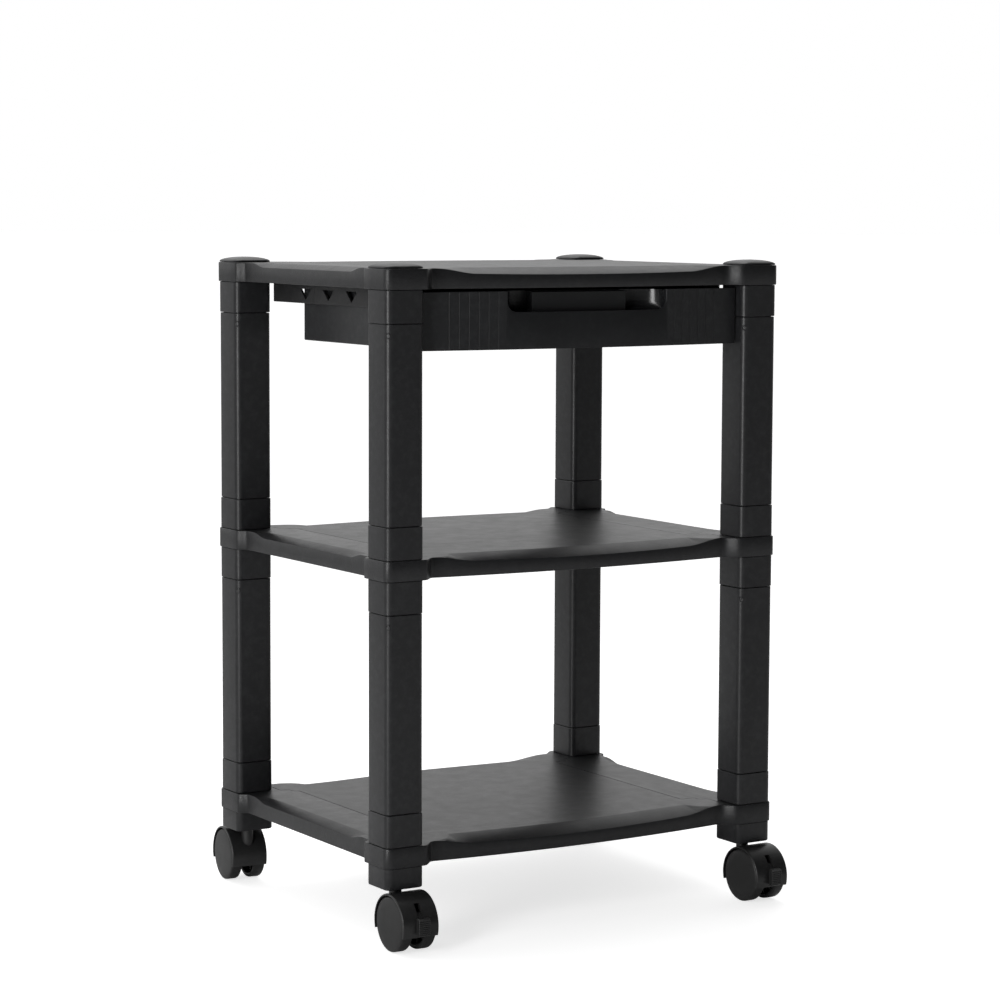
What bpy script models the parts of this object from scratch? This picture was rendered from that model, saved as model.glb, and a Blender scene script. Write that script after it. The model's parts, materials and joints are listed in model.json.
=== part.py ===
"""Mobile printer stand: three moulded shelves on four square posts, a hanging drawer and twin-wheel casters.

The frame is +Z up with the floor at z = 0, the drawer opens towards -Y, and the origin is under the
middle of the stand. Everything is in metres.
"""

import math

import bpy
from mathutils import Matrix, Vector

# ---- driving dimensions -------------------------------------------------------------------------
POST_X = 0.1943                # post centres from the middle, across
POST_Y = 0.1478                # post centres from the middle, front to back
FOOT_Z = 0.0550                # underside of the feet above the floor
FOOT_H = 0.0196                # foot below the bottom shelf
RING_H = 0.0185                # shelf edge and corner ring height
COLLAR_H = 0.0302              # connector collar above or below a shelf
LEG_H = 0.1807                 # long leg tube
GAP = 0.0003                   # clearance between pieces that touch

LEG_HALF = 0.0192              # half widths of the square sections
LEG_WALL = 0.0026
COLLAR_HALF = 0.0195
RING_HALF = 0.0207
HOLE_HALF = 0.0160             # hole through each corner ring
BORE_HALF = 0.0125             # open inside of connectors and caps
CORNER_R = 0.0060              # outer corner radius of the posts
RING_R = 0.0070                # corner radius of the shelf rings
HOLE_R = 0.0040
NECK_R = 0.0037                # necks that sit in the rings
PLUG_R = 0.0031
BORE_R = 0.0020
CAP_HALF = 0.0199
CAP_R = 0.0064
CAP_TIP = 0.0030               # flat left at the top of a cap
EDGE_BREAK = 0.0008            # small bevels round shelves, caps and feet
PLUG_H = 0.0180                # connector plug inside a leg
DOME_H = 0.0050                # crown of a top cap

BAND_X = 0.2068                # side edge of a shelf
BAND_Y = 0.1672                # front and back edge at the middle
BAND_BOW = 0.0104              # how far the front edge falls back at BOW_X
BOW_X = 0.1600
FRONT_DROP = 0.0044            # scooped edge below the shelf top, front and back
FRONT_DROP_MID = 0.0018        # extra drop at the middle of the front
SIDE_DROP = 0.0039
FRONT_SLOPE_W = 0.0220         # width of the sloped strip behind the scooped edge
SIDE_SLOPE_W = 0.0115
FRONT_SCOOP = (0.1200, 0.1590)    # the front scoop fades out between these places
SIDE_SCOOP = (0.0840, 0.1060)
FRONT_BLEND = (0.1600, 0.1752)    # the edge swings out to the ring between these
SIDE_BLEND = (0.1190, 0.1282)
RIB_COLUMNS = 7
RIB_ROWS = 6
RIM_T = 0.0025
PANEL_HALF_X = 0.1500          # the scored line round the middle panel of a shelf
PANEL_HALF_Y = 0.1100
PANEL_LINE_W = 0.0009
PANEL_LINE_DEPTH = 0.0005
PLATE_T = 0.0030
RIB_T = 0.0020

DRAWER_BOTTOM = FOOT_Z + 0.4834
DRAWER_TOP = FOOT_Z + 0.5361
FRONT_HALF = 0.1737            # drawer front, half width
FRONT_T = 0.0030
FRONT_Y = 0.1680
FRONT_BOW = 0.0135
TRAY_HALF = 0.1640
TRAY_WALL = 0.0024
TRAY_REAR = 0.0840
TRAY_TOP = FOOT_Z + 0.5318
LIP_HALF = 0.1674              # outer edge of the sliding lips
LIP_FRONT = 0.1535

RAIL_HALF = 0.1700             # outer face of the rails
RAIL_BOTTOM = FOOT_Z + 0.5192
RAIL_LENGTH = 0.2680
RAIL_WALL = 0.0022
RAIL_LEDGE = 0.0052
RAIL_FLANGE = 0.0180
WINDOWS = (-0.0677, -0.0226, 0.0226, 0.0677)
WINDOW_HALF = 0.0110

GRIP_HALF = 0.0870             # finger recess in the drawer front
GRIP_BOTTOM = FOOT_Z + 0.5172
GRIP_R = 0.0100
GRIP_PANEL_HALF = 0.0515
GRIP_PANEL_FRONT = 0.1495
GRIP_REAR = 0.1370

WHEEL_R = 0.0250
TRAIL = 0.0210                 # axle behind the swivel axis
CASTER_HALF = 0.0184           # half width over both wheels
HOOD_R = 0.0279
HOOD_INNER_R = 0.0262
HOOD_BEVEL = 0.0012
HOOD_END = math.radians(17)    # how far the hood runs below the axle
WEB_HALF = 0.0052
WEB_END = math.radians(104)
WHEEL_INNER = 0.0064           # inner side of a wheel from the middle of its caster
WHEEL_SKIN = 0.0042
BOSS_R = 0.0058
BOSS_LOW = 0.0105
BOSS_TOP_GAP = 0.0024          # boss below the foot
STEM_LOW = 0.0134              # stem heights are from the axle
STEM_COLLAR = (0.0280, 0.0296)
STEM_COLLAR_R = 0.0056
STEM_TOP = 0.0585
STEM_R = 0.0039
SOCKET_R = 0.0053
AXLE_R = 0.0025
AXLE_HALF = 0.0132
PEDAL_PIVOT = (-0.0120, 0.0010)   # brake pivot from the axle, along the trail and up
PEDAL_FRONT = 0.0348           # front of the brake tab from the axle
PEDAL_BACK = 0.0290
PEDAL_HALF = 0.0058
PEDAL_Z = (-0.0054, 0.0102)    # bottom and top of the tab from the axle
PEDAL_RIBS = 5
PEDAL_ARM_HALF = 0.0023

LEVELS = [FOOT_Z + FOOT_H + i * (RING_H + 2 * COLLAR_H + LEG_H) for i in range(3)]
CORNERS = {
    "front_left": (-1, -1),
    "front_right": (1, -1),
    "rear_left": (-1, 1),
    "rear_right": (1, 1),
}
# how each caster is turned on its stem: 0 trails towards the front
CASTER_TURN = {
    "front_left": math.radians(-1),
    "front_right": math.radians(1),
    "rear_left": math.radians(180 - 5.5),
    "rear_right": math.radians(180),
}
# the origin goes under the middle of the box round the whole stand
FRONT_TURN = CASTER_TURN["front_right"]
REAR_TURN = math.pi - CASTER_TURN["rear_left"]
FRONT_REACH = POST_Y + (TRAIL + PEDAL_FRONT) * math.cos(FRONT_TURN) + PEDAL_HALF * math.sin(FRONT_TURN)
REAR_REACH = POST_Y + (TRAIL + HOOD_R) * math.cos(REAR_TURN) + CASTER_HALF * math.sin(REAR_TURN)
SHIFT_Y = (FRONT_REACH - REAR_REACH) / 2


# ---- scene, materials and mesh helpers ----------------------------------------------------------
def clear_scene():
    for obj in list(bpy.data.objects):
        bpy.data.objects.remove(obj, do_unlink=True)


def material(name, rgb, roughness, metallic=0.0):
    mat = bpy.data.materials.new(name)
    mat.use_nodes = True
    shader = mat.node_tree.nodes["Principled BSDF"]
    shader.inputs["Base Color"].default_value = (*rgb, 1.0)
    shader.inputs["Roughness"].default_value = roughness
    shader.inputs["Metallic"].default_value = metallic
    mat.diffuse_color = (*rgb, 1.0)
    return mat


def mesh_of(name, verts, faces):
    mesh = bpy.data.meshes.new(name)
    mesh.from_pydata([Vector(v) for v in verts], [], faces)
    mesh.update()
    return mesh


def place(name, mesh, mat, location=(0.0, 0.0, 0.0), turn=0.0, smooth=None, parent=None):
    """One named sub-part; smooth is the angle above which an edge stays sharp."""
    if not mesh.materials:
        mesh.materials.append(mat)
    obj = bpy.data.objects.new(name, mesh)
    bpy.context.scene.collection.objects.link(obj)
    obj.location = location
    obj.rotation_euler = (0.0, 0.0, turn)
    obj.parent = parent
    if smooth is not None:
        mesh.shade_smooth()
        mesh.set_sharp_from_angle(angle=math.radians(smooth))
    return obj


def helper(name, mesh, location=(0.0, 0.0, 0.0), turn=0.0, parent=None):
    """A hidden tool for a Boolean modifier."""
    obj = bpy.data.objects.new(name, mesh)
    bpy.context.scene.collection.objects.link(obj)
    obj.location = location
    obj.rotation_euler = (0.0, 0.0, turn)
    obj.parent = parent
    obj.hide_render = True
    obj.display_type = "WIRE"
    return obj


def boolean(obj, tool, operation):
    mod = obj.modifiers.new(f"{operation.lower()}_{tool.name}", "BOOLEAN")
    mod.operation = operation
    mod.solver = "EXACT"
    mod.object = tool


def loft(name, loops, ring=False):
    """Skin a list of equal loops that run counter-clockwise and upwards; ring joins the last to the first."""
    count = len(loops[0])
    verts = [p for loop in loops for p in loop]
    faces = []
    pairs = list(zip(range(len(loops) - 1), range(1, len(loops))))
    if ring:
        pairs.append((len(loops) - 1, 0))
    for low, high in pairs:
        for i in range(count):
            j = (i + 1) % count
            faces.append((low * count + i, low * count + j, high * count + j, high * count + i))
    if not ring:
        faces.append(tuple(reversed(range(count))))
        faces.append(tuple((len(loops) - 1) * count + i for i in range(count)))
    return mesh_of(name, verts, faces)


def rounded_square(half, radius, z, steps=2):
    loop = []
    for quarter in range(4):
        sx, sy = ((1, 1), (-1, 1), (-1, -1), (1, -1))[quarter]
        for s in range(steps + 1):
            a = math.pi / 2 * (quarter + s / steps)
            x = sx * (half - radius) + radius * math.cos(a)
            y = sy * (half - radius) + radius * math.sin(a)
            loop.append((x, y, z))
    return loop


def square_stack(name, profile, ring=False):
    """profile: (half width, corner radius, z) from the bottom up."""
    return loft(name, [rounded_square(*step) for step in profile], ring)


def box(name, low, high):
    (x0, y0, z0), (x1, y1, z1) = low, high
    loops = [[(x0, y0, z), (x1, y0, z), (x1, y1, z), (x0, y1, z)] for z in (z0, z1)]
    return loft(name, loops)


def lathe(name, profile, steps, axis="Z"):
    """Turn (radius, height) points, listed from the bottom up, round the axis; ends at radius 0 close."""
    verts = []
    rows = []
    for radius, height in profile:
        if radius == 0.0:
            rows.append([len(verts)] * steps)
            verts.append((0.0, 0.0, height))
            continue
        rows.append(list(range(len(verts), len(verts) + steps)))
        for i in range(steps):
            a = 2 * math.pi * i / steps
            verts.append((radius * math.cos(a), radius * math.sin(a), height))
    faces = []
    for low, high in zip(rows, rows[1:]):
        for i in range(steps):
            j = (i + 1) % steps
            face = [low[i], low[j], high[j], high[i]]
            faces.append(tuple(dict.fromkeys(face)))
    if axis == "X":
        verts = [(h, x, y) for x, y, h in verts]
    return mesh_of(name, verts, faces)


def slab(name, outline, x_half):
    """Extrude a (y, z) outline, listed counter-clockwise seen from +X, to both sides of the YZ plane."""
    return loft(name, [[(x, y, z) for y, z in outline] for x in (-x_half, x_half)])


def smoothstep(value, start, end):
    t = min(max((value - start) / (end - start), 0.0), 1.0)
    return t * t * (3 - 2 * t)


def spread(start, end, count):
    """Evenly spaced values from start to end, both included."""
    return [start + (end - start) * i / (count - 1) for i in range(count)]


# ---- shelves ------------------------------------------------------------------------------------
def front_edge(x):
    return BAND_Y - BAND_BOW * (x / BOW_X) ** 2


def shelf_quarter():
    """Edge points from the middle of the front to the middle of the right side, with the way inwards,
    the width of the sloped strip and the drop of the edge."""
    points = []
    ring_x = POST_X + RING_HALF
    ring_y = POST_Y + RING_HALF
    start, end = FRONT_SCOOP
    for x in (0.0, 0.3 * start, 0.6 * start, 0.9 * start, *spread(start, end, 5)):
        fade = 1 - smoothstep(x, start, end)
        drop = (FRONT_DROP + FRONT_DROP_MID * max(0.0, 1 - (x / start) ** 2)) * fade
        points.append((x, -front_edge(x), 0, 1, FRONT_SLOPE_W * fade, drop))
    start, end = FRONT_BLEND
    for x in spread(start, end, 5):
        y = front_edge(start) + (ring_y - front_edge(start)) * smoothstep(x, start, end)
        points.append((x, -y, 0, 1, 0, 0))
    for a in spread(-math.pi / 2, 0.0, 4):
        nx, ny = math.cos(a), math.sin(a)
        points.append((ring_x - RING_R + RING_R * nx, -ring_y + RING_R + RING_R * ny, -nx, -ny, 0, 0))
    start, end = SIDE_BLEND
    for y in spread(end, start, 4):
        x = BAND_X + (ring_x - BAND_X) * smoothstep(y, start, end)
        points.append((x, -y, -1, 0, 0, 0))
    start, end = SIDE_SCOOP
    for y in (*spread(end, start, 5), 0.0):
        fade = 1 - smoothstep(y, start, end)
        points.append((BAND_X, -y, -1, 0, SIDE_SLOPE_W * fade, SIDE_DROP * fade))
    return points


def shelf_outline():
    quarter = shelf_quarter()
    back = [(x, -y, nx, -ny, w, d) for x, y, nx, ny, w, d in reversed(quarter[:-1])]
    right = quarter + back
    left = [(-x, y, -nx, ny, w, d) for x, y, nx, ny, w, d in reversed(right[1:-1])]
    return right + left


def shelf_mesh(name):
    outline = shelf_outline()
    foot = [(x, y, 0.0) for x, y, *_ in outline]
    edge = []
    top = []
    for x, y, nx, ny, width, drop in outline:
        width = max(width, EDGE_BREAK)
        edge.append((x, y, RING_H - max(drop, EDGE_BREAK)))
        top.append((x + nx * width, y + ny * width, RING_H))
    return loft(name, [foot, edge, top])


def rib_pockets():
    """Low and high corners of the open pockets between the ribs under a shelf."""
    inner_x = BAND_X - RIM_T
    inner_y = front_edge(FRONT_SCOOP[1]) - RIM_T
    pitch_x = 2 * inner_x / RIB_COLUMNS
    pitch_y = 2 * inner_y / RIB_ROWS
    pockets = []
    for i in range(RIB_COLUMNS):
        for j in range(RIB_ROWS):
            side = i in (0, RIB_COLUMNS - 1)
            end = j in (0, RIB_ROWS - 1)
            if side and end:
                continue
            depth = RING_H - PLATE_T
            if side:
                depth -= SIDE_DROP
            if end:
                depth -= FRONT_DROP + FRONT_DROP_MID
            x0 = -inner_x + i * pitch_x
            y0 = -inner_y + j * pitch_y
            low = (x0 + RIB_T / 2, y0 + RIB_T / 2, -0.001)
            high = (x0 + pitch_x - RIB_T / 2, y0 + pitch_y - RIB_T / 2, depth)
            pockets.append((low, high))
    return pockets


def pocket_tool():
    verts = []
    faces = []
    for low, high in rib_pockets():
        part = box("pocket", low, high)
        base = len(verts)
        verts += [tuple(v.co) for v in part.vertices]
        faces += [tuple(base + i for i in f.vertices) for f in part.polygons]
        bpy.data.meshes.remove(part)
    return mesh_of("pockets", verts, faces)


def panel_line_tool():
    """Thin frame that scores the line round the middle panel."""
    low = RING_H - PANEL_LINE_DEPTH
    high = RING_H + 0.001
    loops = []
    for grow, z in ((PANEL_LINE_W, low), (PANEL_LINE_W, high), (0.0, high), (0.0, low)):
        x = PANEL_HALF_X + grow
        y = PANEL_HALF_Y + grow
        loops.append([(-x, -y, z), (x, -y, z), (x, y, z), (-x, y, z)])
    return loft("panel_line", loops, ring=True)


def build_shelves(mat):
    pockets = pocket_tool()
    panel_line = panel_line_tool()
    hole = square_stack("post_hole", [(HOLE_HALF, HOLE_R, -0.002), (HOLE_HALF, HOLE_R, RING_H + 0.002)])
    names = ("bottom_shelf", "middle_shelf", "top_shelf")
    mesh = shelf_mesh("shelf")
    for name, level in zip(names, LEVELS):
        origin = (0.0, SHIFT_Y, level)
        obj = place(name, mesh, mat, origin, smooth=28)
        tool = helper(f"tool_pockets_{name}", pockets, origin)
        boolean(obj, tool, "DIFFERENCE")
        boolean(obj, helper(f"tool_panel_line_{name}", panel_line, origin), "DIFFERENCE")
        for corner, (sx, sy) in CORNERS.items():
            at = (sx * POST_X, SHIFT_Y + sy * POST_Y, level)
            boolean(obj, helper(f"tool_hole_{name}_{corner}", hole, at), "DIFFERENCE")


# ---- posts --------------------------------------------------------------------------------------
def leg_mesh():
    inner = LEG_HALF - LEG_WALL
    height = LEG_H - 2 * GAP
    profile = [
        (LEG_HALF, CORNER_R, 0.0),
        (LEG_HALF, CORNER_R, height),
        (inner, CORNER_R - LEG_WALL, height),
        (inner, CORNER_R - LEG_WALL, 0.0),
    ]
    return square_stack("leg", profile, ring=True)


def connector_mesh():
    """Neck in the ring, collar, then the plug inside the leg; open all the way up."""
    neck = RING_H / 2 - GAP
    plug_half = LEG_HALF - LEG_WALL - GAP
    profile = [
        (HOLE_HALF - GAP, NECK_R, -neck),
        (HOLE_HALF - GAP, NECK_R, 0.0),
        (COLLAR_HALF, CORNER_R, 0.0),
        (COLLAR_HALF, CORNER_R, COLLAR_H - 2 * GAP),
        (plug_half, PLUG_R, COLLAR_H - 2 * GAP),
        (plug_half, PLUG_R, COLLAR_H + PLUG_H),
        (BORE_HALF, BORE_R, COLLAR_H + PLUG_H),
        (BORE_HALF, BORE_R, -neck),
    ]
    return square_stack("connector", profile, ring=True)


def cap_mesh():
    neck = RING_H / 2 - GAP
    profile = [(HOLE_HALF - GAP, NECK_R, -neck), (HOLE_HALF - GAP, NECK_R, 0.0), (CAP_HALF, CAP_R, 0.0)]
    for tilt in (0.12, 0.45, 0.75, 1.0):
        a = math.pi / 2 * tilt
        half = CAP_TIP + (CAP_HALF - CAP_TIP) * math.cos(a)
        profile.append((half, CAP_R * half / CAP_HALF, EDGE_BREAK + (DOME_H - EDGE_BREAK) * math.sin(a)))
    return square_stack("cap", profile)


def flipped(mesh, name):
    """The same piece turned upside down about the X axis."""
    copy = mesh.copy()
    copy.name = name
    copy.transform(Matrix.Rotation(math.pi, 4, "X"))
    return copy


def foot_mesh():
    profile = [
        (COLLAR_HALF - EDGE_BREAK, CORNER_R, 0.0),
        (COLLAR_HALF, CORNER_R, EDGE_BREAK),
        (COLLAR_HALF, CORNER_R, FOOT_H - GAP),
        (HOLE_HALF - GAP, NECK_R, FOOT_H - GAP),
        (HOLE_HALF - GAP, NECK_R, FOOT_H + RING_H / 2 - GAP),
    ]
    return square_stack("foot", profile)


def build_posts(leg_mat, cap_mat):
    leg = leg_mesh()
    above = connector_mesh()
    below = flipped(above, "connector_below")
    cap = cap_mesh()
    foot = foot_mesh()
    socket_profile = [(0.0, -0.001), (SOCKET_R, -0.001), (SOCKET_R, 0.040), (0.0, 0.040)]
    socket = lathe("stem_socket", socket_profile, 16)
    for corner, (sx, sy) in CORNERS.items():
        x = sx * POST_X
        y = SHIFT_Y + sy * POST_Y
        for tier, level in zip(("lower", "upper"), LEVELS):
            leg_z = level + RING_H + COLLAR_H + GAP
            place(f"{tier}_leg_{corner}", leg, leg_mat, (x, y, leg_z), smooth=40)
            place(f"{tier}_leg_base_{corner}", above, leg_mat, (x, y, level + RING_H + GAP), smooth=40)
            ring_z = level + RING_H + 2 * COLLAR_H + LEG_H
            place(f"{tier}_leg_head_{corner}", below, leg_mat, (x, y, ring_z - GAP), smooth=40)
        place(f"top_cap_{corner}", cap, cap_mat, (x, y, LEVELS[2] + RING_H + GAP), smooth=50)
        obj = place(f"foot_{corner}", foot, leg_mat, (x, y, FOOT_Z), smooth=40)
        boolean(obj, helper(f"tool_socket_{corner}", socket, (x, y, FOOT_Z)), "DIFFERENCE")


# ---- drawer and rails ---------------------------------------------------------------------------
def drawer_front_y(x):
    """How far the drawer's front face is ahead of the stand's middle; it bows like the shelf's edge."""
    return FRONT_Y - FRONT_BOW * (x / FRONT_HALF) ** 2


def bowed_line(half, setback, count=12):
    """Points from left to right that follow the drawer's front face, set back from it."""
    xs = [-half + 2 * half * i / count for i in range(count + 1)]
    return [(x, -drawer_front_y(x) + setback) for x in xs]


def bowed_block(name, half, setback, rear, low, high):
    outline = bowed_line(half, setback) + [(half, rear), (-half, rear)]
    return loft(name, [[(x, y, z) for x, y in outline] for z in (low, high)])


def drawer_front_mesh():
    outline = bowed_line(FRONT_HALF, 0.0) + bowed_line(FRONT_HALF, FRONT_T)[::-1]
    return loft("drawer_front", [[(x, y, z) for x, y in outline] for z in (DRAWER_BOTTOM, DRAWER_TOP)])


def grip_tool_mesh():
    """Rounded cut-out through the front, open at the top."""
    outline = [(GRIP_HALF, DRAWER_TOP + 0.002), (-GRIP_HALF, DRAWER_TOP + 0.002)]
    for side in (-1, 1):
        for s in range(4):
            a = math.pi + math.pi / 2 * s / 3 if side < 0 else 1.5 * math.pi + math.pi / 2 * s / 3
            x = side * (GRIP_HALF - GRIP_R) + GRIP_R * math.cos(a)
            outline.append((x, GRIP_BOTTOM + GRIP_R + GRIP_R * math.sin(a)))
    loops = [[(x, y, z) for x, z in outline] for y in (-GRIP_REAR - 0.0030, -FRONT_Y - 0.0120)]
    return loft("grip_cut", loops)


def build_drawer(mat, pivot):
    """Tray, lips, finger recess and bowed front, moulded as one piece."""
    tray_low = DRAWER_BOTTOM + GAP
    overlap = FRONT_T / 3
    outer = bowed_block("tray", TRAY_HALF, overlap, TRAY_REAR, tray_low, TRAY_TOP)
    obj = place("drawer", outer, mat, (0.0, SHIFT_Y, 0.0), smooth=28)
    inside_half = TRAY_HALF - TRAY_WALL
    lip_low = RAIL_BOTTOM + RAIL_WALL + 0.0005
    lip_top = lip_low + 0.0024
    lip_rear = TRAY_REAR - 0.0040
    wall_back = FRONT_T - 0.0004
    steps = [
        ("UNION", "lips", box(
            "lips",
            (-LIP_HALF, -LIP_FRONT, lip_low),
            (LIP_HALF, lip_rear, lip_top),
        )),
        ("DIFFERENCE", "inside", bowed_block(
            "inside", inside_half, wall_back, TRAY_REAR - TRAY_WALL, tray_low + TRAY_WALL, TRAY_TOP + 0.020,
        )),
        ("UNION", "front", drawer_front_mesh()),
        ("UNION", "grip_body", bowed_block(
            "grip_body", GRIP_HALF + 0.0030, overlap, -GRIP_REAR, GRIP_BOTTOM - 0.0030, DRAWER_TOP - 0.0004,
        )),
        ("DIFFERENCE", "grip_cut", grip_tool_mesh()),
        ("UNION", "grip_panel", box(
            "grip_panel",
            (-GRIP_PANEL_HALF, -GRIP_PANEL_FRONT, GRIP_BOTTOM - 0.0010),
            (GRIP_PANEL_HALF, -GRIP_REAR - 0.0015, DRAWER_TOP - 0.0012),
        )),
    ]
    for operation, name, mesh in steps:
        boolean(obj, helper(f"tool_drawer_{name}", mesh, (0.0, SHIFT_Y, 0.0)), operation)
    obj.parent = pivot


def rail_mesh():
    """Channel open towards the drawer: ledge, outer wall and top flange, for the left side."""
    top = LEVELS[2] - GAP
    t = RAIL_WALL
    profile = [
        (-RAIL_HALF, RAIL_BOTTOM),
        (-RAIL_HALF + RAIL_LEDGE, RAIL_BOTTOM),
        (-RAIL_HALF + RAIL_LEDGE, RAIL_BOTTOM + t),
        (-RAIL_HALF + t, RAIL_BOTTOM + t),
        (-RAIL_HALF + t, top - t),
        (-RAIL_HALF + RAIL_FLANGE, top - t),
        (-RAIL_HALF + RAIL_FLANGE, top),
        (-RAIL_HALF, top),
    ]
    half = RAIL_LENGTH / 2
    return loft("rail", [[(x, y, z) for x, z in profile] for y in (half, -half)])


def window_mesh():
    """Downward triangle through the rail's outer wall."""
    low = RAIL_BOTTOM + 0.0032
    high = RAIL_BOTTOM + 0.0150
    outline = [(0.0, low), (WINDOW_HALF, high), (-WINDOW_HALF, high)]
    return slab("rail_window", outline, 0.004)


def build_rails(mat):
    for name, side in (("left", 1), ("right", -1)):
        mesh = rail_mesh()
        mesh.name = f"rail_{name}"
        turn = 0.0 if side > 0 else math.pi
        obj = place(f"{name}_rail", mesh, mat, (0.0, SHIFT_Y, 0.0), turn)
        for i, offset in enumerate(WINDOWS):
            at = (-side * RAIL_HALF, SHIFT_Y + offset, 0.0)
            boolean(obj, helper(f"tool_window_{name}_{i}", window_mesh(), at), "DIFFERENCE")


# ---- casters ------------------------------------------------------------------------------------
def arc(radius, start, end, count):
    """(y, z) points on a circle round the axle; 0 points up, positive leans towards the trail (-Y)."""
    points = []
    for i in range(count + 1):
        a = start + (end - start) * i / count
        points.append((-radius * math.sin(a), radius * math.cos(a)))
    return points


def hood_shell_mesh():
    """Curved cover over both wheels, as a cross-section swept round the axle."""
    edge = CASTER_HALF - 0.0001
    section = [
        (-edge, HOOD_INNER_R),
        (edge, HOOD_INNER_R),
        (edge, HOOD_R - HOOD_BEVEL),
        (edge - HOOD_BEVEL, HOOD_R),
        (-edge + HOOD_BEVEL, HOOD_R),
        (-edge, HOOD_R - HOOD_BEVEL),
    ]
    reach = math.pi / 2 + HOOD_END
    count = 18
    loops = []
    for i in range(count + 1):
        a = -reach + 2 * reach * i / count
        loops.append([(x, -r * math.sin(a), r * math.cos(a)) for x, r in section])
    return loft("hood_shell", loops)


def web_mesh():
    return slab("hood_web", arc((HOOD_R + HOOD_INNER_R) / 2, -WEB_END, WEB_END, 16), WEB_HALF)


def boss_mesh():
    high = FOOT_Z - WHEEL_R - BOSS_TOP_GAP
    profile = [
        (0.0, BOSS_LOW),
        (BOSS_R * 0.6, BOSS_LOW + 0.0010),
        (BOSS_R * 0.9, BOSS_LOW + 0.0032),
        (BOSS_R, BOSS_LOW + 0.0060),
        (BOSS_R, high),
        (0.0, high),
    ]
    mesh = lathe("hood_boss", profile, 16)
    mesh.transform(Matrix.Translation((0.0, TRAIL, 0.0)))
    return mesh


def cylinder(name, radius, low, high, steps, axis="Z"):
    return lathe(name, [(0.0, low), (radius, low), (radius, high), (0.0, high)], steps, axis)


def stem_bore_mesh():
    mesh = cylinder("stem_bore", STEM_R + GAP, STEM_LOW - 0.0004, 0.0400, 16)
    mesh.transform(Matrix.Translation((0.0, TRAIL, 0.0)))
    return mesh


def pedal_slot_mesh():
    outline = [
        (-0.0300, -0.0068), (-0.0060, -0.0055), (-0.0060, 0.0080), (-0.0140, 0.0208), (-0.0300, 0.0208),
    ]
    return slab("pedal_slot", outline, PEDAL_ARM_HALF + 0.0005)


def wheel_mesh():
    """Outer face at +X; hollow on the inner side, with a blind hub for the axle."""
    face = CASTER_HALF
    profile = [
        (0.0, face - WHEEL_SKIN - 0.0004),
        (AXLE_R + GAP, face - WHEEL_SKIN - 0.0004),
        (AXLE_R + GAP, WHEEL_INNER),
        (0.0070, WHEEL_INNER),
        (0.0074, face - WHEEL_SKIN),
        (0.0208, face - WHEEL_SKIN),
        (0.0214, WHEEL_INNER),
        (0.0240, WHEEL_INNER),
        (WHEEL_R, WHEEL_INNER + 0.0016),
        (WHEEL_R, face - 0.0032),
        (0.0238, face - 0.0010),
        (0.0, face),
    ]
    return lathe("wheel", profile, 24, "X")


def pedal_mesh():
    """Ribbed tab in front of the hood."""
    front = -PEDAL_FRONT
    low, high = PEDAL_Z
    outline = [(-PEDAL_BACK, low + 0.0004), (-PEDAL_BACK, high - 0.0008), (front + 0.0022, high)]
    pitch = (high - low - 0.0030) / PEDAL_RIBS
    for i in range(PEDAL_RIBS):
        z = high - 0.0018 - pitch * i
        outline += [(front, z), (front + 0.0008, z - pitch / 2)]
    outline += [(front, low + 0.0010), (front + 0.0003, low)]
    return slab("pedal", outline, PEDAL_HALF)


def pedal_arm_mesh():
    into_tab = PEDAL_BACK + 0.0010
    outline = [
        (-0.0090, -0.0020), (-0.0090, 0.0050), (-0.0180, 0.0125), (-0.0245, 0.0098),
        (-into_tab, 0.0080), (-into_tab, -0.0030), (-0.0240, -0.0036),
    ]
    return slab("pedal_arm", outline, PEDAL_ARM_HALF)


def build_caster(corner, hood_mat, wheel_mat, steel, hood, wheel):
    sx, sy = CORNERS[corner]
    swivel = bpy.data.objects.new(f"swivel_{corner}", None)
    bpy.context.scene.collection.objects.link(swivel)
    swivel.location = (sx * POST_X, SHIFT_Y + sy * POST_Y, 0.0)
    swivel.rotation_euler = (0.0, 0.0, CASTER_TURN[corner])

    stem_profile = [
        (0.0, STEM_LOW), (STEM_R, STEM_LOW), (STEM_R, STEM_COLLAR[0]), (STEM_COLLAR_R, STEM_COLLAR[0]),
        (STEM_COLLAR_R, STEM_COLLAR[1]), (SOCKET_R - GAP, STEM_COLLAR[1]),
        (SOCKET_R - GAP, STEM_TOP - 0.0025), (STEM_R, STEM_TOP), (0.0, STEM_TOP),
    ]
    stem = lathe(f"stem_{corner}", [(r, z + WHEEL_R) for r, z in stem_profile], 12)
    place(f"caster_stem_{corner}", stem, steel, (sx * POST_X, SHIFT_Y + sy * POST_Y, 0.0), smooth=35)

    at = (0.0, -TRAIL, WHEEL_R)
    shell = hood.copy()
    obj = place(f"caster_hood_{corner}", shell, hood_mat, at, smooth=28, parent=swivel)
    tools = [
        ("web", web_mesh(), "UNION"),
        ("boss", boss_mesh(), "UNION"),
        ("bore", stem_bore_mesh(), "DIFFERENCE"),
        ("axle", cylinder("axle_bore", AXLE_R + GAP, -0.010, 0.010, 12, "X"), "DIFFERENCE"),
    ]
    braked = corner.startswith("front")
    if braked:
        tools.append(("slot", pedal_slot_mesh(), "DIFFERENCE"))
    for name, mesh, operation in tools:
        boolean(obj, helper(f"tool_{name}_{corner}", mesh, at, parent=swivel), operation)

    axle = cylinder(f"axle_{corner}", AXLE_R, -AXLE_HALF, AXLE_HALF, 12, "X")
    place(f"caster_axle_{corner}", axle, steel, at, smooth=35, parent=swivel)
    place(f"caster_wheel_right_{corner}", wheel, wheel_mat, at, smooth=30, parent=swivel)
    place(f"caster_wheel_left_{corner}", wheel, wheel_mat, at, math.pi, smooth=30, parent=swivel)
    if braked:
        build_pedal(corner, hood_mat, swivel)


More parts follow.
